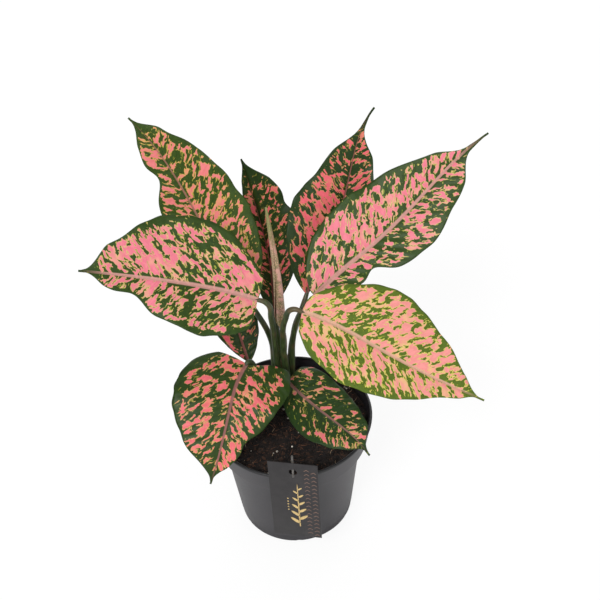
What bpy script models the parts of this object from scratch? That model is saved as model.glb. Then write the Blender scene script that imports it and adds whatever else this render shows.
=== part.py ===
"""Potted Chinese evergreen (Aglaonema): nursery pot, potting soil, a short stem, nine stalked
leaves, one rolled new leaf, and a hanging plant label with its pin. Metres, +Z up. The origin is
the centre of the pot's underside, and the label hangs on the -Y side."""

from math import cos, pi, radians, sin

import bmesh
import bpy
import numpy as np
from mathutils import Matrix, Vector

MM = 0.001
GAP = 0.3  # clearance between pieces that touch, mm

# Pot: a blow-moulded nursery pot, 12 cm across the rim.
POT_HEIGHT = 97.0
RIM_RADIUS = 60.0
COLLAR_HEIGHT = 20.0
COLLAR_FOOT_RADIUS = 56.5
NECK_RADIUS = 51.5
BASE_RADIUS = 42.5
WALL = 1.4
LIP_WIDTH = 2.2
FLOOR = 2.2
CHANNEL_DEPTH = 3.0
CHANNEL = (16.0, 31.0)
DRAIN_HOLES = 8
DRAIN_HOLE_RADIUS = 4.0
FOOT_NOTCHES = 6
FOOT_NOTCH = (9.0, 1.2)
TURN_STEPS = 64

# Soil fills the pot to just under its lip.
SOIL_LEVEL = 89.0
SOIL_CROWN = 2.0

# Stem: off-centre, rooted deep in the soil.
STEM_AT = (-4.0, 28.0)
STEM_FOOT = 50.0
STEM_TOP = 118.0
STEM_RADIUS = 4.0

# Leaf stalks: thick where they clasp the stem, thin at the blade.
STALK_FOOT_RADIUS = 2.3
STALK_TIP_RADIUS = 1.5

BLADE_THICKNESS = 0.8
BLADE_GRID = (14, 8)

# Each blade: spine is five points from base to tip, evenly spaced along the midrib; facing is the
# upper side's direction at the base and at the tip; left and right give each half's greatest
# width, how far along it lies and how sharply it tapers; fold tilts and curl bends each half
# towards the upper side, in degrees. Each stalk: foot is its angle round the stem in degrees and
# its height; bends are the points it passes on its way up.
LEAVES = {
    "upper_left": dict(
        spine=[(-26, 42, 175), (-44, 64, 199), (-60, 84, 228), (-77, 98, 261), (-100, 108, 294)],
        facing=[(0.2, -0.85, 0.5), (0.05, -0.9, 0.5)],
        left=(23, 0.50, 1.05), right=(37, 0.40, 0.90), fold=(18, 18), curl=(-15, -10),
        foot=(150, 106), bends=[(-11, 36, 139)],
    ),
    "left": dict(
        spine=[(-17, 8, 206), (-46, 4, 223), (-75, 0, 236), (-103, -4, 247), (-132, -8, 257)],
        facing=[(0.15, -0.62, 0.75), (0.25, -0.7, 0.7)],
        left=(33, 0.28, 1.10), right=(46, 0.44, 0.95), fold=(14, 20), curl=(-10, -20),
        foot=(242, 106), bends=[(-8, 18, 150), (-9, 12, 184)],
    ),
    "centre_back": dict(
        spine=[(-7, 48, 159), (-8, 72, 174), (-11, 90, 190), (-17, 103, 216), (-24, 108, 252)],
        facing=[(-0.1, -0.85, 0.5), (-0.1, -0.9, 0.3)],
        left=(17, 0.34, 0.90), right=(31, 0.56, 0.75), fold=(45, 30), curl=(0, -30),
        foot=(90, 106), bends=[(-5, 37, 130)],
    ),
    "upper_right": dict(
        spine=[(17, 44, 175), (34, 64, 205), (48, 84, 230), (57, 98, 259), (72, 102, 294)],
        facing=[(-0.1, -0.85, 0.5), (-0.1, -0.9, 0.5)],
        left=(35, 0.36, 1.60), right=(21, 0.46, 1.10), fold=(15, 20), curl=(-10, -10),
        foot=(35, 106), bends=[(5, 36, 140)],
    ),
    "right_upper": dict(
        spine=[(22, 22, 193), (54, 42, 209), (85, 60, 226), (115, 76, 250), (150, 86, 278)],
        facing=[(-0.2, -0.7, 0.7), (-0.2, -0.8, 0.6)],
        left=(38, 0.34, 1.30), right=(28, 0.48, 1.05), fold=(14, 14), curl=(-12, -12),
        foot=(348, 106), bends=[(5, 26, 148), (11, 20, 178)],
    ),
    "right_lower": dict(
        spine=[(13, 6, 194), (43, -4, 183), (73, -14, 166), (104, -22, 148), (138, -28, 129)],
        facing=[(0.1, -0.45, 0.9), (0.3, -0.55, 0.8)],
        left=(44, 0.42, 1.30), right=(37, 0.34, 1.40), fold=(12, 12), curl=(-15, -15),
        foot=(300, 106), bends=[(-2, 17, 155), (1, 10, 184)],
    ),
    "front_left": dict(
        spine=[(-29, 10, 142), (-38, -10, 138), (-44, -28, 128), (-51, -44, 111), (-60, -54, 87)],
        facing=[(0.0, -0.4, 0.9), (0.0, -0.85, 0.5)],
        left=(38, 0.22, 1.20), right=(43, 0.36, 0.90), fold=(10, 10), curl=(-18, -18),
        foot=(205, 96), bends=[(-16, 18, 122)],
    ),
    "front_right": dict(
        spine=[(-1, 11, 121), (11, -4, 118), (27, -22, 116), (41, -38, 115), (55, -46, 98)],
        facing=[(0.1, -0.4, 0.9), (0.3, -0.6, 0.7)],
        left=(24, 0.32, 0.75), right=(24, 0.48, 1.25), fold=(10, 10), curl=(-15, -15),
        foot=(288, 96), bends=[(-1, 16, 110)],
    ),
    "back_low": dict(
        spine=[(-29, 38, 114), (-33, 48, 126), (-37, 58, 138), (-41, 66, 153), (-45, 72, 169)],
        facing=[(0.0, -0.85, 0.5), (0.0, -0.9, 0.4)],
        left=(17, 0.56, 0.85), right=(17, 0.52, 0.75), fold=(12, 12), curl=(-10, -10),
        foot=(160, 96), bends=[],
    ),
}

# Rolled new leaf: (x, y, z, radius) up from the stem's top.
SPEAR = [
    (-4, 28, 118.3, 1.8), (-1, 28, 146, 1.5), (-3, 29, 166, 2.8),
    (-2, 30, 203, 3.4), (-3, 31, 239, 2.0), (-6, 32, 266, 0.9),
]

# Label: a card that leans on the pot's rim, and the pin that holds it.
CARD = (35.5, 84.0, 0.5)
CARD_TOP = (-0.5, -62.8, 115.0)
CARD_LEAN = radians(1.4)
CARD_TURN = radians(-12)
CARD_HOLE_DROP = 9.6
CARD_HOLE_RADIUS = 3.0
PIN_RADIUS = 0.8
PIN_X = -0.4
# (y, z) up from the pin's foot; the first three lie on one line, in the soil.
PIN = [(-42, 54), (-48, 80), (-51.5, 95.2), (-54, 108), (-57.5, 115), (-60.6, 110.5), (-63, 105.4), (-66, 104)]

PLASTIC = ((0.075, 0.077, 0.080), 0.45)
SOIL = ((0.030, 0.020, 0.014), 0.95)
STEM_GREEN = ((0.090, 0.110, 0.035), 0.50)
LEAF_PINK = ((0.420, 0.110, 0.110), 0.38)
NEW_LEAF = ((0.500, 0.300, 0.200), 0.45)
CARD_GREY = ((0.035, 0.034, 0.038), 0.50)
PIN_WHITE = ((0.600, 0.580, 0.550), 0.40)


def new_collection(name, hidden=False):
    collection = bpy.data.collections.new(name)
    bpy.context.scene.collection.children.link(collection)
    collection.hide_render = hidden
    return collection


def finish(name, obj, look):
    """Names the object, moves it to the model's collection and gives it its own material."""
    obj.name = name
    for collection in list(obj.users_collection):
        collection.objects.unlink(obj)
    MODEL.objects.link(obj)
    material = bpy.data.materials.new(name)
    material.use_nodes = True
    shader = material.node_tree.nodes["Principled BSDF"]
    shader.inputs["Base Color"].default_value = (*look[0], 1)
    shader.inputs["Roughness"].default_value = look[1]
    obj.data.materials.clear()
    obj.data.materials.append(material)
    return obj


def cutter(obj):
    """Hides a Boolean's tool and moves it to the cutters' collection."""
    for collection in list(obj.users_collection):
        collection.objects.unlink(obj)
    CUTTERS.objects.link(obj)
    obj.hide_render = True
    obj.display_type = "WIRE"
    return obj


def cut(obj, tool):
    boolean = obj.modifiers.new(tool.name, "BOOLEAN")
    boolean.object = tool


def turned(name, profile):
    """A solid of revolution from (radius, height) pairs in mm, ending down its outer side."""
    mesh = bpy.data.meshes.new(name)
    points = [(r * MM, 0, z * MM) for r, z in profile]
    mesh.from_pydata(points, [(i, i + 1) for i in range(len(points) - 1)], [])
    obj = bpy.data.objects.new(name, mesh)
    bpy.context.scene.collection.objects.link(obj)
    screw = obj.modifiers.new("Turn", "SCREW")
    screw.steps = screw.render_steps = TURN_STEPS
    screw.use_merge_vertices = True
    screw.merge_threshold = 0.0001
    screw.use_smooth_shade = True
    return obj


def tube(name, points, radii, steps=4):
    """A tapering round rod through points in mm, as a mesh with welded caps."""
    curve = bpy.data.curves.new(name, "CURVE")
    curve.dimensions = "3D"
    curve.bevel_depth = MM
    curve.bevel_resolution = 1
    curve.resolution_u = steps
    curve.use_fill_caps = True
    spline = curve.splines.new("BEZIER")
    spline.bezier_points.add(len(points) - 1)
    for knot, place, radius in zip(spline.bezier_points, points, radii):
        knot.co = Vector(place) * MM
        knot.radius = radius
        knot.handle_left_type = knot.handle_right_type = "AUTO"
    guide = bpy.data.objects.new(name, curve)
    bpy.context.scene.collection.objects.link(guide)
    graph = bpy.context.evaluated_depsgraph_get()
    mesh = bpy.data.meshes.new_from_object(guide.evaluated_get(graph))
    bpy.data.objects.remove(guide)
    solid = bmesh.new()
    solid.from_mesh(mesh)
    bmesh.ops.remove_doubles(solid, verts=solid.verts, dist=0.00001)
    solid.to_mesh(mesh)
    solid.free()
    mesh.shade_smooth()
    obj = bpy.data.objects.new(name, mesh)
    bpy.context.scene.collection.objects.link(obj)
    return obj


def along(points, t):
    """Lagrange curve through evenly spaced points, at parameter t from 0 to 1."""
    total = Vector((0, 0, 0))
    last = len(points) - 1
    for i, point in enumerate(points):
        weight = 1.0
        for j in range(last + 1):
            if j != i:
                weight *= (t * last - j) / (i - j)
        total += weight * Vector(point)
    return total


def spine_direction(points, t):
    step = 0.001
    return (along(points, t + step) - along(points, t - step)).normalized()


def half_width(half, t):
    """Width of half a blade at t: it rises to its widest at peak, then tapers to the tip."""
    widest, peak, taper = half
    rise = taper * peak / (1 - peak)
    return widest * (t / peak) ** rise * ((1 - t) / (1 - peak)) ** taper


def blade_point(leaf, t, side):
    """A point of the blade, in mm: t runs base to tip, side from -1 (left edge) to 1."""
    direction = spine_direction(leaf["spine"], t)
    base, tip = (Vector(v).normalized() for v in leaf["facing"])
    facing = base.lerp(tip, t)
    facing = (facing - facing.dot(direction) * direction).normalized()
    across = direction.cross(facing)
    which = 0 if side < 0 else 1
    width = max(half_width(leaf["left" if side < 0 else "right"], t), 1.2) * abs(side)
    fold = radians(leaf["fold"][which])
    bend = radians(leaf["curl"][which]) * abs(side)
    angle = fold + bend / 2
    sideways = across * (cos(angle) * width * (1 if side > 0 else -1))
    return along(leaf["spine"], t) + sideways + facing * (sin(angle) * width)


def blade(name, leaf):
    lengths, widths = BLADE_GRID
    bpy.ops.mesh.primitive_grid_add(x_subdivisions=lengths, y_subdivisions=widths, size=2)
    obj = bpy.context.object
    for vertex in obj.data.vertices:
        t = 0.5 + 0.5 * sin(vertex.co.x * pi / 2)
        side = vertex.co.y
        vertex.co = blade_point(leaf, min(max(t, 0.0), 1.0), -side) * MM
    solidify = obj.modifiers.new("Thickness", "SOLIDIFY")
    solidify.thickness = BLADE_THICKNESS * MM
    solidify.offset = 0
    obj.data.shade_smooth()
    return finish("leaf_" + name, obj, LEAF_PINK)


def stalk(name, leaf):
    """The leaf's petiole, from the stem's side to just short of the blade."""
    turn, height = leaf["foot"]
    reach = STEM_RADIUS + STALK_FOOT_RADIUS + GAP
    foot = (STEM_AT[0] + reach * cos(radians(turn)), STEM_AT[1] + reach * sin(radians(turn)), height)
    direction = spine_direction(leaf["spine"], 0)
    base = Vector(leaf["spine"][0])
    end = base - direction * (GAP + 0.6)
    points = [foot, *leaf["bends"], end - direction * 7, end]
    radii = np.linspace(STALK_FOOT_RADIUS, STALK_TIP_RADIUS, len(points) - 1)
    return finish("petiole_" + name, tube(name, points, [*radii, STALK_TIP_RADIUS]), STEM_GREEN)


def pot():
    inner_low, inner_high = CHANNEL
    bottom_in = BASE_RADIUS - WALL
    raised = FLOOR + CHANNEL_DEPTH
    collar_foot = POT_HEIGHT - COLLAR_HEIGHT
    profile = [
        (0, FLOOR),
        (inner_low - WALL, FLOOR),
        (inner_low, raised),
        (inner_high, raised),
        (inner_high + WALL, FLOOR),
        (bottom_in, FLOOR),
        (NECK_RADIUS - WALL, collar_foot + WALL),
        (COLLAR_FOOT_RADIUS - WALL, collar_foot + WALL),
        (RIM_RADIUS - LIP_WIDTH, POT_HEIGHT),
        (RIM_RADIUS, POT_HEIGHT),
        (RIM_RADIUS, POT_HEIGHT - 2),
        (COLLAR_FOOT_RADIUS, collar_foot),
        (NECK_RADIUS, collar_foot),
        (BASE_RADIUS, 1),
        (BASE_RADIUS - 1, 0),
        (inner_high + 2 * WALL, 0),
        (inner_high + WALL, CHANNEL_DEPTH),
        (inner_low - WALL, CHANNEL_DEPTH),
        (inner_low - 2 * WALL, 0),
        (0, 0),
    ]
    obj = turned("pot", profile)
    middle = (inner_low + inner_high) / 2
    for i in range(DRAIN_HOLES):
        turn = 2 * pi * i / DRAIN_HOLES
        bpy.ops.mesh.primitive_cylinder_add(
            vertices=20, radius=DRAIN_HOLE_RADIUS * MM, depth=8 * MM,
            location=(middle * MM * cos(turn), middle * MM * sin(turn), 4 * MM),
        )
        bpy.context.object.name = f"drain_hole_{i}"
        cut(obj, cutter(bpy.context.object))
    width, height = FOOT_NOTCH
    for i in range(FOOT_NOTCHES):
        turn = 2 * pi * (i + 0.5) / FOOT_NOTCHES
        bpy.ops.mesh.primitive_cube_add(
            size=MM, location=(38 * MM * cos(turn), 38 * MM * sin(turn), 0), rotation=(0, 0, turn)
        )
        tool = bpy.context.object
        tool.name = f"foot_notch_{i}"
        tool.scale = (20, width, 2 * height)
        cut(obj, cutter(tool))
    return finish("pot", obj, PLASTIC)


def soil(stem_tool, pin_tool):
    inner_low, inner_high = CHANNEL
    raised = FLOOR + CHANNEL_DEPTH + GAP
    collar_foot = POT_HEIGHT - COLLAR_HEIGHT + WALL + GAP
    inside = COLLAR_FOOT_RADIUS - WALL
    slope = (RIM_RADIUS - LIP_WIDTH - inside) / (POT_HEIGHT - collar_foot + GAP)
    profile = [
        (0, SOIL_LEVEL + SOIL_CROWN),
        (25, SOIL_LEVEL + SOIL_CROWN * 0.7),
        (inside + slope * (SOIL_LEVEL - collar_foot) - 2 * GAP, SOIL_LEVEL),
        (inside - 2 * GAP, collar_foot),
        (NECK_RADIUS - WALL - 2 * GAP, collar_foot),
        (BASE_RADIUS - WALL - 2 * GAP, FLOOR + GAP),
        (inner_high + WALL + 2 * GAP, FLOOR + GAP),
        (inner_high + GAP, raised),
        (inner_low - GAP, raised),
        (inner_low - WALL - 2 * GAP, FLOOR + GAP),
        (0, FLOOR + GAP),
    ]
    obj = turned("soil", profile)
    cut(obj, stem_tool)
    cut(obj, pin_tool)
    return finish("soil", obj, SOIL)


def stem():
    x, y = STEM_AT
    heights = np.linspace(STEM_FOOT, STEM_TOP, 4)
    points = [(x, y, z) for z in heights]
    bore = [(x, y, STEM_FOOT - GAP), (x, y, SOIL_LEVEL + 10)]
    radius = STEM_RADIUS + 2 * GAP
    tool = cutter(tube("stem_bore", bore, [radius, radius]))
    return finish("stem", tube("stem", points, [STEM_RADIUS] * 4), STEM_GREEN), tool


def new_leaf():
    points = [place[:3] for place in SPEAR]
    return finish("new_leaf", tube("new_leaf", points, [place[3] for place in SPEAR]), NEW_LEAF)


def label_pin():
    """The pin: slanting up out of the soil, over behind the rim, and forward through the card."""
    points = [(PIN_X, y, z) for y, z in PIN]
    straight = [points[0], points[2]]
    tool = cutter(tube("pin_bore", straight, [PIN_RADIUS + 2 * GAP] * 2))
    return finish("label_pin", tube("label_pin", points, [PIN_RADIUS] * len(points)), PIN_WHITE), tool


def label_card():
    width, height, thickness = CARD
    bpy.ops.mesh.primitive_cube_add(size=MM)
    obj = bpy.context.object
    obj.scale = (width, thickness, height)
    bpy.ops.object.transform_apply(scale=True)
    hole = CARD_HOLE_DROP
    bpy.ops.mesh.primitive_cylinder_add(
        vertices=24, radius=CARD_HOLE_RADIUS * MM, depth=10 * MM, rotation=(pi / 2, 0, 0),
        location=(0, 0, (height / 2 - hole) * MM),
    )
    tool = cutter(bpy.context.object)
    tool.name = "card_hole"
    tool.parent = obj
    cut(obj, tool)
    obj.data.transform(Matrix.Translation((0, 0, -height / 2 * MM)))
    tool.location.z -= height / 2 * MM
    obj.location = Vector(CARD_TOP) * MM
    obj.rotation_euler = (CARD_LEAN, 0, CARD_TURN)
    return finish("label_card", obj, CARD_GREY)


for old in list(bpy.data.objects):
    bpy.data.objects.remove(old)
MODEL = new_collection("potted_chinese_evergreen")
CUTTERS = new_collection("cutters", hidden=True)

_, stem_tool = stem()
_, pin_tool = label_pin()
pot()
soil(stem_tool, pin_tool)
label_card()
new_leaf()
for leaf_name, leaf_shape in LEAVES.items():
    blade(leaf_name, leaf_shape)
    stalk(leaf_name, leaf_shape)
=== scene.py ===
"""Looks of a potted Chinese evergreen: mottled leaves, stalks, rolled new leaf, soil, pot and label."""

from math import cos, exp, pi, radians, sin
from random import Random

import bpy
from mathutils import Euler, Matrix, Vector, noise


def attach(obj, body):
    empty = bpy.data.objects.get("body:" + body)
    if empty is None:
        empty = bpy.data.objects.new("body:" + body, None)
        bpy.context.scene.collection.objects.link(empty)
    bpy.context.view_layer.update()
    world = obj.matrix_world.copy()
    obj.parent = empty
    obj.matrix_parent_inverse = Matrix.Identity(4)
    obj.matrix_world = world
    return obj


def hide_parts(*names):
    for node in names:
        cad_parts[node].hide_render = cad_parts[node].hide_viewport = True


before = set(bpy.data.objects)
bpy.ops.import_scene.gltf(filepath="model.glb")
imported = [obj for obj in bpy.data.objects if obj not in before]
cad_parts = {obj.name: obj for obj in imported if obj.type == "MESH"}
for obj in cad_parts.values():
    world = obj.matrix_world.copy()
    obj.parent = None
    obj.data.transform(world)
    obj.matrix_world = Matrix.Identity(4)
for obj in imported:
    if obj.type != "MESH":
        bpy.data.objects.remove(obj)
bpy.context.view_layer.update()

MM = 0.001
MERGE_DISTANCE = 0.01 * MM

# The nine blades in mm, placed as in the CAD model. A place along a blade is 0 at its base and 1 at
# its tip, and a side is -1 for left and 1 for right.
#   spine: the midrib's points, from base to tip
#   facing: which way the upper side faces, at the base and at the tip
#   left, right: half-width at the widest place, that place, and how sharply it tapers
#   fold, curl: degrees that the left and right halves rise at the midrib, and then bend
#   foot, bends, approach: the stalk's foot as a direction round the stem and a height, the points that it
#     passes, and how far before the base it straightens
#   look, cover: the palette, and how much more of the blade is pink than on an even one
#   notches: dents of the margin, each with its side, place, spread and depth
#   lobes: how far the left and right halves reach back past the stalk
#   tail: where the drip tip starts, and where it is at its narrowest
LEAVES = {
    "upper_left": dict(
        spine=[(-26, 42, 175), (-44, 64, 199), (-60, 84, 228), (-77, 98, 261), (-100, 108, 294)],
        facing=[(0.2, -0.85, 0.5), (0.05, -0.9, 0.5)],
        left=(23, 0.50, 1.05), right=(37, 0.40, 0.90), fold=(18, 18), curl=(-15, -10),
        foot=(150, 106), bends=[(-11, 36, 139)], look="gold", cover=-0.010,
        notches=[(-1, 0.70, 0.07, 0.42), (1, 0.86, 0.05, 0.12)],
    ),
    "left": dict(
        spine=[(-17, 8, 206), (-46, 4, 223), (-75, 0, 236), (-103, -4, 247), (-132, -8, 257)],
        facing=[(0.15, -0.62, 0.75), (0.25, -0.7, 0.7)],
        left=(33, 0.28, 1.10), right=(46, 0.44, 0.95), fold=(14, 20), curl=(-10, -20),
        foot=(242, 106), bends=[(-8, 18, 150), (-9, 12, 184)], look="rose", cover=0.010,
        notches=[(-1, 0.70, 0.09, 0.34), (-1, 0.32, 0.08, -0.06), (1, 0.80, 0.06, 0.10)],
        lobes=(4, 7), tail=(0.86, 0.97),
    ),
    "centre_back": dict(
        spine=[(-7, 48, 159), (-8, 72, 174), (-11, 90, 190), (-17, 103, 216), (-24, 108, 252)],
        facing=[(-0.1, -0.85, 0.5), (-0.1, -0.9, 0.3)],
        left=(17, 0.34, 0.90), right=(31, 0.56, 0.75), fold=(45, 30), curl=(0, -30),
        foot=(90, 106), bends=[(-5, 37, 130)], look="deep", cover=-0.025,
        notches=[(1, 0.72, 0.05, 0.15)],
    ),
    "upper_right": dict(
        spine=[(17, 44, 175), (34, 64, 205), (48, 84, 230), (57, 98, 259), (72, 102, 294)],
        facing=[(-0.1, -0.85, 0.5), (-0.1, -0.9, 0.5)],
        left=(35, 0.36, 1.60), right=(21, 0.46, 1.10), fold=(15, 20), curl=(-10, -10),
        foot=(35, 106), bends=[(5, 36, 140)], look="deep", cover=-0.005,
        notches=[(-1, 0.60, 0.06, 0.08)], tail=(0.74, 0.90),
    ),
    "right_upper": dict(
        spine=[(22, 22, 193), (54, 42, 209), (85, 60, 226), (115, 76, 250), (150, 86, 278)],
        facing=[(-0.2, -0.7, 0.7), (-0.2, -0.8, 0.6)],
        left=(38, 0.34, 1.30), right=(28, 0.48, 1.05), fold=(14, 14), curl=(-12, -12),
        foot=(348, 106), bends=[(5, 26, 148), (11, 20, 178)], look="rose", cover=0.000,
        notches=[(1, 0.27, 0.06, 0.40), (1, 0.55, 0.08, -0.08), (-1, 0.66, 0.10, -0.10)],
        tail=(0.80, 0.91),
    ),
    "right_lower": dict(
        spine=[(13, 6, 194), (43, -4, 183), (73, -14, 166), (104, -22, 148), (138, -28, 129)],
        facing=[(0.1, -0.45, 0.9), (0.3, -0.55, 0.8)],
        left=(44, 0.42, 1.30), right=(37, 0.34, 1.40), fold=(12, 12), curl=(-15, -15),
        foot=(300, 106), bends=[(-2, 17, 155), (1, 10, 184)], look="pale", cover=0.040,
        notches=[(1, 0.80, 0.08, 0.10)], lobes=(6, 5), tail=(0.88, 0.98),
    ),
    "front_left": dict(
        spine=[(-29, 10, 142), (-38, -10, 138), (-44, -28, 128), (-51, -44, 111), (-60, -54, 87)],
        facing=[(0.0, -0.4, 0.9), (0.0, -0.85, 0.5)],
        left=(38, 0.22, 1.20), right=(43, 0.36, 0.90), fold=(10, 10), curl=(-18, -18),
        foot=(205, 96), bends=[(-16, 18, 120), (-23, 14, 133)], approach=2, look="coral", cover=-0.020,
        notches=[(-1, 0.66, 0.07, 0.20), (1, 0.86, 0.05, 0.22)], lobes=(17, 5), tail=(0.84, 0.96),
    ),
    "front_right": dict(
        spine=[(-1, 11, 121), (11, -4, 118), (27, -22, 116), (41, -38, 115), (55, -46, 98)],
        facing=[(0.1, -0.4, 0.9), (0.3, -0.6, 0.7)],
        left=(24, 0.32, 0.75), right=(24, 0.48, 1.25), fold=(10, 10), curl=(-15, -15),
        foot=(288, 96), bends=[(-1, 16, 110)], look="speck", cover=-0.070,
        notches=[(-1, 0.82, 0.05, -0.10)], lobes=(7, 5), tail=(0.84, 0.96),
    ),
    "back_low": dict(
        spine=[(-29, 38, 114), (-33, 48, 126), (-37, 58, 138), (-41, 66, 153), (-45, 72, 169)],
        facing=[(0.0, -0.85, 0.5), (0.0, -0.9, 0.4)],
        left=(17, 0.56, 0.85), right=(17, 0.52, 0.75), fold=(12, 12), curl=(-10, -10),
        foot=(160, 96), bends=[], look="deep", cover=-0.045,
    ),
}
# The colours of a blade's upper side, and the half-width of its midrib at the base, in metres.
LOOKS = {
    "coral": dict(green=(0.015, 0.033, 0.004), fringe=(0.22, 0.24, 0.03), cream=(0.74, 0.36, 0.17),
                  pink=(0.74, 0.135, 0.150), rib=(0.30, 0.12, 0.11), rib_width=0.0020),
    "rose": dict(green=(0.019, 0.040, 0.005), fringe=(0.34, 0.38, 0.05), cream=(0.76, 0.44, 0.24),
                 pink=(0.76, 0.18, 0.24), rib=(0.62, 0.32, 0.28), rib_width=0.0024),
    "gold": dict(green=(0.023, 0.046, 0.005), fringe=(0.28, 0.30, 0.035), cream=(0.72, 0.38, 0.13),
                 pink=(0.76, 0.19, 0.19), rib=(0.36, 0.17, 0.12), rib_width=0.0018),
    # Painted shade: a darker copy of the leaf colours, for the leaves that lie in the shadow of others.
    "deep": dict(green=(0.011, 0.026, 0.004), fringe=(0.20, 0.20, 0.03), cream=(0.70, 0.27, 0.15),
                 pink=(0.72, 0.10, 0.13), rib=(0.26, 0.09, 0.08), rib_width=0.0016),
    "speck": dict(green=(0.013, 0.031, 0.006), fringe=(0.26, 0.30, 0.04), cream=(0.70, 0.36, 0.18),
                  pink=(0.74, 0.16, 0.18), rib=(0.28, 0.13, 0.11), rib_width=0.0018),
    # Painted light: a lighter copy of the leaf colours, for the upward-facing lower right leaf in full
    # light.
    "pale": dict(green=(0.060, 0.095, 0.008), fringe=(0.46, 0.50, 0.05), cream=(0.80, 0.56, 0.22),
                 pink=(0.80, 0.27, 0.25), rib=(0.66, 0.38, 0.27), rib_width=0.0024),
}
BLADE_ROWS, BLADE_COLUMNS, BLADE_THICKNESS = 150, 64, 0.45
QUILT_DEPTH, SIDE_VEIN_SPACING = 0.30, 7.5
MARGIN_WAVE, MARGIN_ROUGHNESS, DRIP_TIP_PINCH, LEAST_HALF_WIDTH = 4.2, 0.035, 0.74, 0.7
GROOVE_DEPTH, GROOVE_HALF_WIDTH = 0.5, 1.8
STEM_AT = (-4.0, 28.0)
STEM_RADIUS = 4.0
STEM_HEIGHTS = (52, 80, 117.5)
STALK_FOOT_RADIUS = 2.3
NEW_LEAF_STALK = [(-4, 28, 118.3), (-1, 28, 146), (-3, 29, 164)]
NEW_LEAF_FOOT, NEW_LEAF_LENGTH, NEW_LEAF_TURNS = 160, 106, 1.45
NEW_LEAF_RADIUS, NEW_LEAF_THICKNESS = 3.7, 0.3
RIM_RADIUS, POT_HEIGHT, COLLAR_HEIGHT = 60.0, 97.0, 20.0
COLLAR_FOOT_RADIUS, NECK_RADIUS, BASE_RADIUS = 56.5, 51.5, 42.5
WALL, LIP_WIDTH, FLOOR, CHANNEL_DEPTH, CHANNEL = 1.4, 2.2, 2.2, 3.0, (16.0, 31.0)
DRAIN_HOLES, DRAIN_HOLE_RADIUS = 8, 4.0
FOOT_NOTCHES, FOOT_NOTCH_RADIUS, FOOT_NOTCH_RING = 6, 4.5, 38
SOIL_LEVEL, SOIL_CROWN = 89.0, 2.0
SOIL_GAP, SOIL_FOOT = 0.6, 2.6
CARD = (35.5, 84.0, 0.5)
CARD_TOP = (-0.5, -62.8, 115.0)
CARD_LEAN, CARD_TURN = radians(1.4), radians(-12)
CARD_HOLE_DROP = 9.6
CARD_HOLE_RADIUS = 3.0
PIN_X, PIN_RADIUS = -0.4, 0.8
PIN = [
    (-42, 54), (-48, 80), (-51.5, 95.2), (-54, 108),
    (-57.5, 115), (-60.6, 110.5), (-63, 105.4), (-66, 104),
]


class Value:
    """A number socket in a node tree, which Python operators extend with Math nodes."""

    def __init__(self, shader, socket):
        self.shader = shader
        self.socket = socket

    def math(self, operation, *others):
        inputs = dict(enumerate([self, *others]))
        return self.shader.node("ShaderNodeMath", dict(operation=operation), inputs)

    def __add__(self, other):
        return self.math("ADD", other)

    __radd__ = __add__

    def __sub__(self, other):
        return self.math("SUBTRACT", other)

    def __rsub__(self, other):
        return (self * -1) + other

    def __mul__(self, other):
        return self.math("MULTIPLY", other)

    __rmul__ = __mul__

    def __truediv__(self, other):
        return self.math("DIVIDE", other)

    def __abs__(self):
        return self.math("ABSOLUTE")

    def step(self, low, high):
        """0 below low and 1 above high, smooth between."""
        return self.shader.node(
            "ShaderNodeMapRange", dict(interpolation_type="SMOOTHSTEP"), {0: self, 1: low, 2: high}
        )


class Shader:
    """A new material with its Principled shader, and short ways to add nodes."""

    def __init__(self, name, roughness=0.5):
        self.material = bpy.data.materials.new(name)
        self.material.use_nodes = True
        self.tree = self.material.node_tree
        self.principled = self.tree.nodes["Principled BSDF"]
        self.principled.inputs["Roughness"].default_value = roughness

    def node(self, kind, settings=None, inputs=None, output=0):
        made = self.tree.nodes.new(kind)
        for key, value in (settings or {}).items():
            if key == "stops":
                ramp = made.color_ramp.elements
                while len(ramp) < len(value):
                    ramp.new(0.5)
                for element, (place, colour) in zip(ramp, value):
                    element.position = place
                    element.color = (*colour, 1)
            else:
                setattr(made, key, value)
        for key, value in (inputs or {}).items():
            self.feed(made.inputs[key], value)
        return Value(self, made.outputs[output])

    def feed(self, socket, value):
        if isinstance(value, Value):
            self.tree.links.new(value.socket, socket)
        elif isinstance(value, tuple) and len(value) == 3 and socket.type == "RGBA":
            socket.default_value = (*value, 1)
        else:
            socket.default_value = value

    def coordinates(self):
        return self.node("ShaderNodeTexCoord", output="Object")

    def uv(self, name):
        """The two numbers of a UV map."""
        both = self.node("ShaderNodeUVMap", dict(uv_map=name))
        split = {"Vector": both}
        return (
            self.node("ShaderNodeSeparateXYZ", inputs=split, output=0),
            self.node("ShaderNodeSeparateXYZ", inputs=split, output=1),
        )

    def vector(self, x, y, z):
        return self.node("ShaderNodeCombineXYZ", inputs={0: x, 1: y, 2: z})

    def noise(self, vector, scale=1.0, detail=3.0, rough=0.55):
        inputs = {"Vector": vector, "Scale": scale, "Detail": detail, "Roughness": rough}
        return self.node("ShaderNodeTexNoise", inputs=inputs)

    def ramp(self, value, stops):
        return self.node("ShaderNodeValToRGB", dict(stops=stops), {0: value})

    def mix(self, factor, a, b):
        return self.node("ShaderNodeMix", dict(data_type="RGBA"), {0: factor, 6: a, 7: b}, output=2)

    def bump(self, height, distance, strength=1.0):
        inputs = {"Height": height, "Distance": distance, "Strength": strength}
        self.feed(self.principled.inputs["Normal"], self.node("ShaderNodeBump", inputs=inputs))

    def set(self, **inputs):
        for key, value in inputs.items():
            self.feed(self.principled.inputs[key.replace("_", " ")], value)
        return self.material


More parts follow.
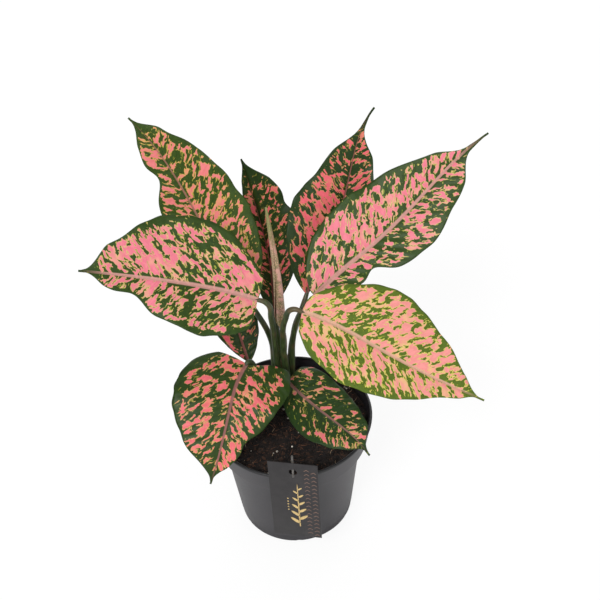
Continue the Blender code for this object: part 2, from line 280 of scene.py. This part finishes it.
def leaf_material(name, look, cover, seed):
    """Blotches drawn out along the side veins, with a green margin and a pale midrib."""
    shader = Shader(name, 0.42)
    shader.principled.inputs["Specular IOR Level"].default_value = 0.22
    t, side = shader.uv("shape")
    along, across = shader.uv("span")
    reach = abs(across)
    warp = shader.noise(shader.vector(along, across, seed), 130, 2) - 0.5
    warp_across = shader.noise(shader.vector(along, across, seed + 20), 130, 2) - 0.5
    # Places are drawn out along the side veins, and warped so that no row of blotches is straight.
    slant = along - reach * 0.75 + warp * 0.007
    outward = across + warp_across * 0.009
    blotch = shader.noise(shader.vector(slant * 235, outward * 165, seed), 1.0, 2.2, 0.56)
    broad = shader.noise(shader.vector(along * 34, across * 34, seed + 3), 1.0, 1)
    fine = shader.noise(shader.vector(slant * 620, outward * 400, seed + 7), 1.0, 1.5)
    # Pink gives way to green at the margin, beside the midrib and at the tip.
    margin = abs(side).step(0.80, 1.0) * 0.20
    beside_rib = (1 - reach.step(0.0010, 0.0045)) * 0.05
    spread = (blotch - 0.5) * 1.15 + 0.5
    tip = t.step(0.86, 0.97) * 0.25
    uneven = spread + (broad - 0.5) * 0.38 + (fine - 0.5) * 0.20
    amount = uneven + cover - margin - beside_rib - tip
    tone = LOOKS[look]
    light = tuple(min(1.0, c * 1.06 + 0.03) for c in tone["pink"])
    shade = tuple(c * 1.7 for c in tone["green"])
    colour = shader.ramp(amount, [
        (0.00, tone["green"]), (0.40, shade), (0.468, tone["green"]), (0.494, tone["fringe"]),
        (0.524, tone["cream"]), (0.550, tone["pink"]), (0.74, light),
    ])
    # Some of the pink is yellowed, and small pale flecks lie on the green.
    yellowing = shader.noise(shader.vector(along * 60, across * 60, seed + 11), 1.0, 2).step(0.52, 0.70)
    colour = shader.mix(yellowing * amount.step(0.515, 0.53) * 0.6, colour, tone["cream"])
    sparks = shader.noise(shader.vector(slant * 480, outward * 330, seed + 31), 1.0, 1).step(0.66, 0.70)
    flecked = sparks * (1 - amount.step(0.44, 0.50)) * (1 - abs(side).step(0.84, 0.94))
    colour = shader.mix(flecked * 0.85, colour, tone["fringe"])
    # The midrib narrows towards the tip.
    width = tone["rib_width"] - t * 0.0013
    rib = 1 - (reach / width).step(0.55, 1.0)
    colour = shader.mix(rib * (1 - t.step(0.80, 1.0)) * 0.9, colour, tone["rib"])
    veins = (slant * 840).math("SINE")
    height = veins * 0.22 + blotch * 0.45 + fine * 0.12
    shader.bump(height, 0.0004, 0.5)
    return shader.set(Base_Color=colour, Roughness=0.36 + fine * 0.16)


def underside_material(name, look, cover, seed):
    shader = Shader(name, 0.5)
    along, across = shader.uv("span")
    slant = along - abs(across) * 0.85
    blotch = shader.noise(shader.vector(slant * 215, across * 148, seed), 1.0, 2.8, 0.60)
    tone = LOOKS[look]
    green = tuple(0.5 * c + g for c, g in zip(tone["green"], (0.05, 0.08, 0.035)))
    pink = tuple(0.45 * c + g for c, g in zip(tone["pink"], (0.10, 0.09, 0.06)))
    colour = shader.ramp(blotch + cover, [(0.40, green), (0.49, green), (0.56, pink)])
    shader.bump((slant * 900).math("SINE") * 0.4 + blotch, 0.0004, 0.5)
    return shader.set(Base_Color=colour)


def stalk_material(name, base=(0.022, 0.036, 0.010), flush=(0.13, 0.075, 0.035)):
    shader = Shader(name, 0.4)
    place = shader.coordinates()
    stretched = shader.node("ShaderNodeMapping", inputs={"Vector": place, "Scale": (900, 900, 60)})
    streaks = shader.noise(stretched, 1.0, 3)
    patches = shader.noise(place, 55, 2)
    colour = shader.mix(streaks.step(0.40, 0.66), base, tuple(c * 2.1 for c in base))
    colour = shader.mix(patches.step(0.50, 0.72) * 0.6, colour, flush)
    shader.bump(streaks, 0.0003, 0.6)
    return shader.set(Base_Color=colour)


def new_leaf_material():
    """Pale pinkish tan with fine olive netting."""
    shader = Shader("new_leaf", 0.45)
    place = shader.coordinates()
    stretched = shader.node("ShaderNodeMapping", inputs={"Vector": place, "Scale": (1, 1, 0.45)})
    cells = shader.node(
        "ShaderNodeTexVoronoi", dict(feature="DISTANCE_TO_EDGE"), {"Vector": stretched, "Scale": 900}
    )
    patches = shader.noise(place, 160, 3)
    colour = shader.mix(patches.step(0.42, 0.62), (0.62, 0.33, 0.26), (0.56, 0.38, 0.22))
    net = (1 - cells.step(0.03, 0.22)) * patches.step(0.36, 0.50)
    colour = shader.mix(net * 0.85, colour, (0.13, 0.12, 0.045))
    height = shader.node("ShaderNodeSeparateXYZ", inputs={"Vector": place}, output=2)
    colour = shader.mix(height.step(0.228, 0.258) * 0.8, colour, (0.20, 0.22, 0.06))
    colour = shader.mix((1 - height.step(0.158, 0.176)) * 0.7, colour, (0.46, 0.38, 0.16))
    shader.bump(cells, 0.0003, 0.4)
    return shader.set(Base_Color=colour)


def pot_material():
    shader = Shader("pot_plastic", 0.4)
    place = shader.coordinates()
    grain = shader.noise(place, 1500, 3)
    smudge = shader.noise(place, 35, 4)
    height = shader.node("ShaderNodeSeparateXYZ", inputs={"Vector": place}, output=2)
    # Painted shade: above 94.8 mm the top of the pot round the lip goes near black, for the shade on the
    # inner wall at the rim.
    lip = height.step(0.0948, 0.0962)
    colour = shader.mix(smudge.step(0.35, 0.70), (0.023, 0.021, 0.025), (0.037, 0.034, 0.039))
    colour = shader.mix(lip, colour, (0.006, 0.006, 0.007))
    shader.bump(grain, 0.0002, 0.35)
    return shader.set(Base_Color=colour, Roughness=0.36 + smudge * 0.18)


def soil_material(name, tinted=False):
    shader = Shader(name, 0.95)
    place = shader.coordinates()
    clumps = shader.noise(place, 220, 5, 0.65)
    specks = shader.noise(place, 1100, 2)
    colour = shader.ramp(clumps, [(0.34, (0.002, 0.001, 0.001)), (0.52, (0.008, 0.004, 0.003)),
                             (0.70, (0.034, 0.016, 0.009))])
    colour = shader.mix(specks.step(0.64, 0.72), colour, (0.16, 0.085, 0.045))
    if tinted:
        tint = shader.node("ShaderNodeAttribute", dict(attribute_name="tint"))
        colour = shader.mix(0.85, colour, tint)
    shader.bump(clumps + specks * 0.4, 0.0015, 0.8)
    return shader.set(Base_Color=colour)


def card_material():
    shader = Shader("label_card", 0.5)
    place = shader.coordinates()
    fibre = shader.noise(place, 1400, 3)
    rubbed = shader.noise(place, 120, 3)
    colour = shader.mix(rubbed.step(0.3, 0.7), (0.013, 0.011, 0.012), (0.021, 0.018, 0.019))
    shader.bump(fibre, 0.00015, 0.4)
    return shader.set(Base_Color=colour, Roughness=0.42 + fibre * 0.2)


def print_material(name, colour, metallic, roughness):
    shader = Shader(name, roughness)
    wear = shader.noise(shader.coordinates(), 900, 3)
    tone = shader.mix(wear.step(0.35, 0.70), colour, tuple(c * 0.72 for c in colour))
    shader.bump(wear, 0.0001, 0.3)
    return shader.set(Base_Color=tone, Metallic=metallic)


def along_points(points, t):
    total = Vector((0, 0, 0))
    last = len(points) - 1
    for i, point in enumerate(points):
        weight = 1.0
        for j in range(last + 1):
            if j != i:
                weight *= (t * last - j) / (i - j)
        total += weight * Vector(point)
    return total


def direction_at(points, t):
    step = 0.001
    return (along_points(points, t + step) - along_points(points, t - step)).normalized()


def half_width(half, t):
    widest, peak, taper = half
    rise = taper * peak / (1 - peak)
    return widest * (t / peak) ** rise * ((1 - t) / (1 - peak)) ** taper


def blade_frame(leaf, t):
    """Midrib point, upper side's normal and the direction across, at t along the blade."""
    direction = direction_at(leaf["spine"], t)
    base, tip = (Vector(v).normalized() for v in leaf["facing"])
    facing = base.lerp(tip, t)
    facing = (facing - facing.dot(direction) * direction).normalized()
    return along_points(leaf["spine"], t), facing, direction.cross(facing)


def smooth(low, high, value):
    part = min(1.0, max(0.0, (value - low) / (high - low)))
    return part * part * (3 - 2 * part)


def edge_width(leaf, t, sign, seed):
    """Half-width of the real, uneven margin, in mm: it has notches, and narrows to a drip tip."""
    width = half_width(leaf["left" if sign < 0 else "right"], t) * 0.985
    for side, place, spread, depth in leaf.get("notches", []):
        if side == sign:
            width *= 1 - depth * exp(-(((t - place) / spread) ** 2))
    start, end = leaf.get("tail", (0.88, 0.99))
    width *= 1 - DRIP_TIP_PINCH * smooth(start, end, t)
    width *= 1 + MARGIN_ROUGHNESS * noise.noise(Vector((t * 11.0, sign * 5.0, seed)))
    return max(width, LEAST_HALF_WIDTH)


def blade_point(leaf, t, side, seed):
    """A point of the blade and its distance from the midrib, both in mm."""
    middle, facing, across = blade_frame(leaf, t)
    half, sign = (0, -1) if side < 0 else (1, 1)
    outward = abs(side)
    width = edge_width(leaf, t, sign, seed)
    reach = width * outward
    angle = radians(leaf["fold"][half]) + radians(leaf["curl"][half]) * outward / 2
    ridges = sin((t * 130 - reach * 0.75) * 2 * pi / SIDE_VEIN_SPACING)
    quilt = QUILT_DEPTH * ridges * min(1.0, reach / 8) * (1 - outward ** 4)
    edge = outward ** 2.2 * min(1.0, width / 15)
    wave = MARGIN_WAVE * edge * noise.noise(Vector((t * 6.0, sign * 2.0, seed)))
    groove = -GROOVE_DEPTH * max(0.0, 1 - reach / GROOVE_HALF_WIDTH)
    lobe = leaf.get("lobes", (0, 0))[half] * outward * (2 - outward) * (1 - t) ** 4
    lobe *= min(1.0, t / 0.05)
    place = middle + across * (cos(angle) * reach * sign) - direction_at(leaf["spine"], t) * lobe
    return place + facing * (sin(angle) * reach + quilt + wave + groove), reach * sign


def curve_length(points, count=20):
    places = [along_points(points, i / count) for i in range(count + 1)]
    return sum((after - before).length for before, after in zip(places, places[1:]))


def deselect():
    for obj in bpy.context.selected_objects:
        obj.select_set(False)


def select_only(obj):
    deselect()
    obj.select_set(True)
    bpy.context.view_layer.objects.active = obj


def apply_modifiers(obj):
    select_only(obj)
    for modifier in list(obj.modifiers):
        bpy.ops.object.modifier_apply(modifier=modifier.name)


def settle(obj, name, materials, *nodes, slot, angle=None):
    """Names the piece, finishes its mesh at the origin and ties it to the frame."""
    for i, material in enumerate(materials):
        if i < len(obj.data.materials):
            obj.data.materials[i] = material
        else:
            obj.data.materials.append(material)
    apply_modifiers(obj)
    bpy.ops.object.transform_apply(location=True, rotation=True, scale=True)
    if angle:
        bpy.ops.object.shade_smooth_by_angle(angle=radians(angle))
    else:
        obj.data.shade_smooth()
    obj.name = name
    obj.data.name = name
    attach(obj, "root")
    if nodes:
        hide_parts(*nodes)
    deselect()


def blade(name, leaf, seed):
    """A grid bent to the blade, with rows closer together near its ends and its midrib."""
    deselect()
    bpy.ops.mesh.primitive_grid_add(x_subdivisions=BLADE_ROWS, y_subdivisions=BLADE_COLUMNS, size=2)
    obj = bpy.context.object
    mesh = obj.data
    length = curve_length(leaf["spine"])
    shape = []
    span = []
    for vertex in mesh.vertices:
        t = 0.5 + 0.4965 * sin(vertex.co.x * pi / 2)
        side = -vertex.co.y * (0.35 + 0.65 * abs(vertex.co.y))
        place, reach = blade_point(leaf, t, side, seed)
        vertex.co = place * MM
        shape.append((t, side))
        span.append((t * length * MM, reach * MM))
    mesh.uv_layers.remove(mesh.uv_layers[0])
    for map_name, values in (("shape", shape), ("span", span)):
        layer = mesh.uv_layers.new(name=map_name)
        for loop in mesh.loops:
            layer.data[loop.index].uv = values[loop.vertex_index]
    top = leaf_material("leaf_" + name, leaf["look"], leaf["cover"], seed)
    under = underside_material("underside_" + name, leaf["look"], leaf["cover"], seed)
    solidify = obj.modifiers.new("Thickness", "SOLIDIFY")
    solidify.thickness = BLADE_THICKNESS * MM
    solidify.offset = 0
    solidify.material_offset = 1
    settle(obj, "leaf_" + name + "_blade", [top, under], "leaf_" + name, slot="leaf_blade")


def tube(points, radii, sides=4, steps=10):
    """A tapering round rod through points in mm, as a mesh."""
    curve = bpy.data.curves.new("rod", "CURVE")
    curve.dimensions = "3D"
    curve.bevel_depth = MM
    curve.bevel_resolution = sides
    curve.resolution_u = steps
    curve.use_fill_caps = True
    spline = curve.splines.new("BEZIER")
    spline.bezier_points.add(len(points) - 1)
    for knot, place, radius in zip(spline.bezier_points, points, radii):
        knot.co = Vector(place) * MM
        knot.radius = radius
        knot.handle_left_type = knot.handle_right_type = "AUTO"
    obj = bpy.data.objects.new("rod", curve)
    bpy.context.scene.collection.objects.link(obj)
    select_only(obj)
    bpy.ops.object.convert(target="MESH")
    bpy.ops.object.mode_set(mode="EDIT")
    bpy.ops.mesh.select_all(action="SELECT")
    bpy.ops.mesh.remove_doubles(threshold=MERGE_DISTANCE)
    bpy.ops.object.mode_set(mode="OBJECT")
    return bpy.context.object


def stalk(name, leaf, material):
    """The petiole with its broad foot, running on as the midrib under the blade."""
    turn, height = leaf["foot"]
    reach = STEM_RADIUS + STALK_FOOT_RADIUS - 0.6
    foot = (STEM_AT[0] + reach * cos(radians(turn)), STEM_AT[1] + reach * sin(radians(turn)), height)
    base = Vector(leaf["spine"][0])
    direction = direction_at(leaf["spine"], 0)
    points = [foot, *leaf["bends"], base - direction * leaf.get("approach", 7)]
    points.insert(1, Vector(points[0]).lerp(Vector(points[1]), 0.35))
    radii = [3.2, 2.8] + [2.2 - 0.6 * i / len(points) for i in range(len(points) - 2)]
    for t in (0.02, 0.25, 0.5, 0.75, 0.9):
        middle, facing, _ = blade_frame(leaf, t)
        points.append(middle - facing * (1.75 - 0.75 * t))
        radii.append(1.15 * (1 - t) + 0.22)
    rod = tube(points, radii)
    settle(rod, "stalk_" + name, [material], "petiole_" + name, slot="petiole_green")


def new_leaf():
    """A blade still rolled round itself, on a thin stalk."""
    deselect()
    bpy.ops.mesh.primitive_grid_add(x_subdivisions=90, y_subdivisions=56, size=2)
    obj = bpy.context.object
    for vertex in obj.data.vertices:
        t = (vertex.co.x + 1) / 2
        rolled = (vertex.co.y + 1) / 2
        height = NEW_LEAF_FOOT + NEW_LEAF_LENGTH * t
        middle = Vector((-3 + 0.8 * sin(t * 4) - 3.4 * t * t, 29 + 3 * t, height))
        swell = NEW_LEAF_RADIUS * (1 - t) ** 0.72 * (0.55 + 0.45 * min(1, t / 0.08)) + 0.5
        radius = swell * (0.55 + 0.45 * rolled)
        angle = 2 * pi * NEW_LEAF_TURNS * rolled + 2.2 * t + 0.4
        vertex.co = (middle + Vector((cos(angle) * radius, sin(angle) * radius, 2.5 * rolled))) * MM
    solidify = obj.modifiers.new("Thickness", "SOLIDIFY")
    solidify.thickness = NEW_LEAF_THICKNESS * MM
    settle(obj, "new_leaf_roll", [new_leaf_material()], "new_leaf", slot="new_leaf")
    rod = tube(NEW_LEAF_STALK, [2.1, 1.7, 1.9])
    pale_stalk = stalk_material("new_leaf_stalk", (0.16, 0.11, 0.045), (0.42, 0.20, 0.13))
    settle(rod, "new_leaf_stalk", [pale_stalk], slot="new_leaf")


def turned(profile, steps):
    """A mesh turned round the pot's axis from (radius, height) points in mm."""
    mesh = bpy.data.meshes.new("turned")
    points = [(r * MM, 0, z * MM) for r, z in profile]
    mesh.from_pydata(points, [(i, i + 1) for i in range(len(points) - 1)], [])
    obj = bpy.data.objects.new("turned", mesh)
    bpy.context.scene.collection.objects.link(obj)
    screw = obj.modifiers.new("Turn", "SCREW")
    screw.steps = screw.render_steps = steps
    screw.use_merge_vertices = True
    screw.merge_threshold = MERGE_DISTANCE
    apply_modifiers(obj)
    return obj


def arc(centre, radius, start, end, count=6):
    turns = [radians(start + (end - start) * i / count) for i in range(count + 1)]
    return [(centre[0] + radius * cos(a), centre[1] + radius * sin(a)) for a in turns]


def pot():
    inner_low, inner_high = CHANNEL
    raised = FLOOR + CHANNEL_DEPTH
    collar_foot = POT_HEIGHT - COLLAR_HEIGHT
    lip = LIP_WIDTH / 2
    profile = [
        (0, FLOOR), (inner_low - WALL, FLOOR), (inner_low, raised), (inner_high, raised),
        (inner_high + WALL, FLOOR), (BASE_RADIUS - WALL, FLOOR),
        (NECK_RADIUS - WALL, collar_foot + WALL), (COLLAR_FOOT_RADIUS - WALL, collar_foot + WALL),
        *arc((RIM_RADIUS - lip, POT_HEIGHT - lip), lip, 180, 0),
        (RIM_RADIUS - 0.1, POT_HEIGHT - 2.2), (RIM_RADIUS - 0.6, POT_HEIGHT - 2.6),
        *arc((COLLAR_FOOT_RADIUS - 0.6, collar_foot + 0.6), 0.6, 0, -90, 4),
        *arc((NECK_RADIUS + 0.5, collar_foot - 0.5), 0.5, 90, 180, 3),
        (BASE_RADIUS + 0.85, 7.0), (BASE_RADIUS + 0.2, 6.4), (BASE_RADIUS, 2.4),
        *arc((BASE_RADIUS - 1.2, 1.2), 1.2, 0, -90, 4),
        (inner_high + 2 * WALL, 0), (inner_high + WALL, CHANNEL_DEPTH),
        (inner_low - WALL, CHANNEL_DEPTH), (inner_low - 2 * WALL, 0), (0, 0),
    ]
    obj = turned(profile, 160)
    ring = (inner_low + inner_high) / 2
    for i in range(DRAIN_HOLES):
        turn = 2 * pi * i / DRAIN_HOLES
        hole(obj, (ring * cos(turn), ring * sin(turn), 4), DRAIN_HOLE_RADIUS, 8)
    ring = FOOT_NOTCH_RING
    for i in range(FOOT_NOTCHES):
        turn = 2 * pi * (i + 0.5) / FOOT_NOTCHES
        hole(obj, (ring * cos(turn), ring * sin(turn), -3.2), FOOT_NOTCH_RADIUS, 20, (0, pi / 2, turn))
    settle(obj, "pot_shell", [pot_material()], "pot", slot="pot_plastic", angle=40)


def hole(obj, place, radius, depth, turn=(0, 0, 0)):
    """Cuts a round hole centred on place, along Z unless turned."""
    deselect()
    bpy.ops.mesh.primitive_cylinder_add(
        vertices=32, radius=radius * MM, depth=depth * MM, location=Vector(place) * MM, rotation=turn
    )
    tool = bpy.context.object
    boolean = obj.modifiers.new("Hole", "BOOLEAN")
    boolean.operation = "DIFFERENCE"
    boolean.object = tool
    apply_modifiers(obj)
    bpy.data.objects.remove(tool)


def soil_height(x, y):
    """Height of the loose surface, in mm."""
    place = Vector((x, y, 0))
    clods = noise.fractal(place / 9, 1.0, 2.0, 4) * 1.3
    grains = noise.fractal(place / 2.2, 0.8, 2.1, 3) * 0.55
    crown = SOIL_CROWN * (1 - min(1.0, place.length / 56))
    return SOIL_LEVEL + crown - 0.3 + (clods + grains)


def soil():
    inside = RIM_RADIUS - LIP_WIDTH - 1.6
    rings = [(inside * i / 110, SOIL_LEVEL) for i in range(111)]
    foot = [
        (COLLAR_FOOT_RADIUS - WALL - SOIL_GAP, 79), (NECK_RADIUS - WALL - SOIL_GAP, 78.2),
        (BASE_RADIUS - WALL - SOIL_GAP, SOIL_FOOT), (33, SOIL_FOOT), (31.3, SOIL_FOOT + CHANNEL_DEPTH),
        (15.7, SOIL_FOOT + CHANNEL_DEPTH), (14, SOIL_FOOT), (0, SOIL_FOOT),
    ]
    obj = turned(rings + foot, 200)
    for vertex in obj.data.vertices:
        if vertex.co.z > (SOIL_LEVEL - 1) * MM:
            vertex.co.z = soil_height(vertex.co.x / MM, vertex.co.y / MM) * MM
    settle(obj, "soil_body", [soil_material("potting_soil")], "soil", slot="potting_soil")


def crumbs():
    """Peat lumps, bark chips, fibres and perlite lying on the soil."""
    rng = Random(7)
    spread, edge, clear_of_stem = 54.5, 55.3, 8
    deselect()
    bpy.ops.mesh.primitive_ico_sphere_add(subdivisions=2, radius=1)
    model = bpy.context.object
    ball = [v.co.copy() for v in model.data.vertices]
    ball_faces = [tuple(p.vertices) for p in model.data.polygons]
    bpy.data.objects.remove(model)
    points, faces, tints = [], [], []
    # Lumps, bark, fibres, pale fibres and perlite: how many, sizes, length and flatness, colour.
    kinds = (
        (620, (0.5, 1.5), (0.9, 0.7), (0.009, 0.005, 0.003)),
        (150, (0.5, 1.5), (1.6, 0.35), (0.045, 0.020, 0.010)),
        (430, (0.14, 0.26), (17.0, 1.0), (0.13, 0.055, 0.028)),
        (60, (0.14, 0.22), (24.0, 1.0), (0.34, 0.24, 0.15)),
        (26, (0.45, 1.0), (1.0, 0.9), (0.62, 0.58, 0.50)),
    )
    for count, sizes, (long, flat), colour in kinds:
        for _ in range(count):
            distance = spread * rng.random() ** 0.5
            around = rng.uniform(0, 2 * pi)
            x, y = distance * cos(around), distance * sin(around)
            if Vector((x - STEM_AT[0], y - STEM_AT[1])).length < clear_of_stem:
                continue
            size = rng.uniform(*sizes)
            length = size * (rng.uniform(0.4, 1) * long if long > 2 else long)
            turn = Euler((rng.uniform(-0.3, 0.3), rng.uniform(-0.35, 0.35), rng.uniform(0, 2 * pi)))
            middle = Vector((x, y, soil_height(x, y) + size * flat * 0.35))
            first = len(points)
            bend = rng.uniform(-0.35, 0.35) if long > 2 else 0
            for corner in ball:
                rough = 1 + 0.3 * noise.noise(corner * 1.7 + middle)
                local = Vector((corner.x * length, corner.y * size, corner.z * size * flat)) * rough
                local.y += bend * local.x * local.x / max(length, 1)
                local.rotate(turn)
                place = middle + local
                reach = Vector((place.x, place.y)).length
                if reach > edge:
                    place.x *= edge / reach
                    place.y *= edge / reach
                points.append(place * MM)
            faces += [tuple(first + i for i in face) for face in ball_faces]
            shade = rng.uniform(0.5, 1.5)
            tints += [tuple(min(1.0, c * shade) for c in colour)] * len(ball)
    mesh = bpy.data.meshes.new("crumbs")
    mesh.from_pydata(points, [], faces)
    layer = mesh.attributes.new("tint", "FLOAT_COLOR", "POINT")
    for item, tint in zip(layer.data, tints):
        item.color = (*tint, 1)
    obj = bpy.data.objects.new("crumbs", mesh)
    bpy.context.scene.collection.objects.link(obj)
    settle(obj, "soil_crumbs", [soil_material("soil_crumbs", tinted=True)], slot="potting_soil")


CARD_PLACE = (
    Matrix.Translation(Vector(CARD_TOP) * MM) @ Euler((CARD_LEAN, 0, CARD_TURN)).to_matrix().to_4x4()
)


def on_card(obj):
    """Moves a shape made at the origin, in the card's own frame, to where the card hangs."""
    obj.data.transform(CARD_PLACE)


def label_card():
    width, height, thickness = CARD
    deselect()
    bpy.ops.mesh.primitive_cube_add(size=MM)
    obj = bpy.context.object
    obj.scale = width, thickness, height
    bpy.ops.object.transform_apply(scale=True)
    obj.data.transform(Matrix.Translation((0, 0, -height / 2 * MM)))
    bevel = obj.modifiers.new("Edges", "BEVEL")
    bevel.width = 0.12 * MM
    bevel.segments = 2
    apply_modifiers(obj)
    hole(obj, (0, 0, -CARD_HOLE_DROP), CARD_HOLE_RADIUS, 6, (pi / 2, 0, 0))
    on_card(obj)
    settle(obj, "label_board", [card_material()], "label_card", slot="label_card", angle=30)


def flat_shapes(name, outlines, material):
    """Thin raised print on the card's face, from outlines in mm in the card's frame."""
    curve = bpy.data.curves.new(name, "CURVE")
    curve.dimensions = "2D"
    curve.fill_mode = "BOTH"
    curve.extrude = 0.04 * MM
    for outline in outlines:
        spline = curve.splines.new("POLY")
        spline.use_cyclic_u = True
        spline.points.add(len(outline) - 1)
        for point, (x, z) in zip(spline.points, outline):
            point.co = (x * MM, z * MM, 0, 1)
    obj = bpy.data.objects.new(name, curve)
    bpy.context.scene.collection.objects.link(obj)
    select_only(obj)
    bpy.ops.object.convert(target="MESH")
    obj = bpy.context.object
    obj.data.transform(Matrix.Rotation(pi / 2, 4, "X"))
    obj.data.transform(Matrix.Translation((0, -(CARD[2] / 2 + 0.05) * MM, 0)))
    on_card(obj)
    settle(obj, name, [material], slot="label_card", angle=30)


def leaflet(x, z, length, width, turn):
    """Outline of a pointed oval whose foot is at x, z."""
    outline = []
    for i in range(24):
        a = 2 * pi * i / 24
        u = (1 - cos(a)) / 2 * length
        v = sin(a) * width / 2 * (1 - 0.35 * u / length)
        outline.append((x + u * cos(turn) - v * sin(turn), z + u * sin(turn) + v * cos(turn)))
    return outline


def label_print():
    """A gold sprig and a column of small chevrons, in place of a printed label."""
    sprig = [[(2.0, -72), (2.8, -72), (2.6, -26), (2.3, -22), (2.0, -26)]]
    for i in range(10):
        z = -68 + 4.3 * i
        size = 8.6 - 0.5 * i
        turn = radians(42) if i % 2 else radians(138)
        sprig.append(leaflet(2.4, z, size, size * 0.40, turn))
    for i in range(5):
        corners = [(cos(k * pi / 6), sin(k * pi / 6)) for k in range(12)]
        sprig.append([(-5.2 + 0.6 * x, -40 - 3.2 * i + 0.6 * z) for x, z in corners])
    flat_shapes("label_sprig", sprig, print_material("label_gold", (0.78, 0.56, 0.24), 0.3, 0.38))
    marks = []
    for i in range(17):
        z = -7 - 4.5 * i
        for x, lift in ((9.6, 0.0), (14.6, 2.25)):
            low = z - lift
            marks.append([(x - 1.8, low), (x, low + 1.5), (x + 1.8, low), (x + 1.8, low - 0.6),
                          (x, low + 0.8), (x - 1.8, low - 0.6)])
    flat_shapes("label_border", marks, print_material("label_rose", (0.22, 0.13, 0.10), 0.0, 0.5))


def label_pin():
    rod = tube([(PIN_X, y, z) for y, z in PIN], [PIN_RADIUS] * len(PIN), steps=14)
    grey = print_material("label_pin", (0.14, 0.13, 0.12), 0.0, 0.30)
    settle(rod, "label_pin_rod", [grey], "label_pin", slot="label_pin")


def stage():
    """A white floor that keeps the shadow, a white world and three soft suns."""
    deselect()
    bpy.ops.mesh.primitive_plane_add(size=12, location=(0, 0, -0.0002))
    floor = bpy.context.object
    shader = Shader("pale_floor", 0.9)
    shader.set(Base_Color=(0.92, 0.92, 0.92))
    seen = shader.node("ShaderNodeLightPath", output="Is Camera Ray")
    glow = shader.node("ShaderNodeEmission", inputs={"Color": (1, 1, 1), "Strength": 1.03})
    blend = shader.tree.nodes.new("ShaderNodeMixShader")
    shader.feed(blend.inputs[0], seen * 0.84)
    shader.tree.links.new(shader.principled.outputs[0], blend.inputs[1])
    shader.feed(blend.inputs[2], glow)
    shader.tree.links.new(blend.outputs[0], shader.tree.nodes["Material Output"].inputs[0])
    floor.data.materials.append(shader.material)
    floor.name = "floor"
    world = bpy.data.worlds.new("studio")
    bpy.context.scene.world = world
    world.use_nodes = True
    nodes, links = world.node_tree.nodes, world.node_tree.links
    background = nodes["Background"]
    background.inputs["Color"].default_value = (1, 1, 1, 1)
    ray = nodes.new("ShaderNodeLightPath")
    strength = nodes.new("ShaderNodeMapRange")
    strength.inputs["To Min"].default_value = 0.48
    links.new(ray.outputs["Is Camera Ray"], strength.inputs["Value"])
    links.new(strength.outputs[0], background.inputs["Strength"])
    for name, turn, energy, spread in (
        ("key", (38, -22, 0), 1.55, 22),
        ("fill", (50, 40, 0), 0.6, 60),
        ("back", (-62, 10, 0), 0.9, 60),
    ):
        lamp = bpy.data.lights.new(name, "SUN")
        lamp.energy = energy
        lamp.angle = radians(spread)
        holder = bpy.data.objects.new(name, lamp)
        holder.rotation_euler = [radians(a) for a in turn]
        bpy.context.scene.collection.objects.link(holder)


def camera():
    """Looks down on the plant from the front, as in a catalogue view."""
    data = bpy.data.cameras.new("camera")
    data.lens = 84
    data.sensor_width = 36
    obj = bpy.data.objects.new("camera", data)
    bpy.context.scene.collection.objects.link(obj)
    elevation, roll, distance = radians(43.1), radians(-3.55), 0.953
    target = Vector((0.012, 0, 0.211))
    obj.location = target + Vector((0, -cos(elevation), sin(elevation))) * distance
    tilt = Euler((pi / 2 - elevation, 0, 0)).to_matrix() @ Euler((0, 0, roll)).to_matrix()
    obj.rotation_euler = tilt.to_euler()
    bpy.context.scene.camera = obj


bpy.context.scene.view_settings.view_transform = "Standard"
camera()
stage()
stalk_green = stalk_material("petiole_green")
for number, (leaf_name, leaf_shape) in enumerate(LEAVES.items()):
    blade(leaf_name, leaf_shape, 5.0 * number + 1)
    stalk(leaf_name, leaf_shape, stalk_green)
stem_rod = tube([(*STEM_AT, height) for height in STEM_HEIGHTS], [STEM_RADIUS, STEM_RADIUS, 3.6])
settle(stem_rod, "stem_rod", [stalk_material("stem_green")], "stem", slot="stem_green")
new_leaf()
pot()
soil()
crumbs()
label_card()
label_print()
label_pin()
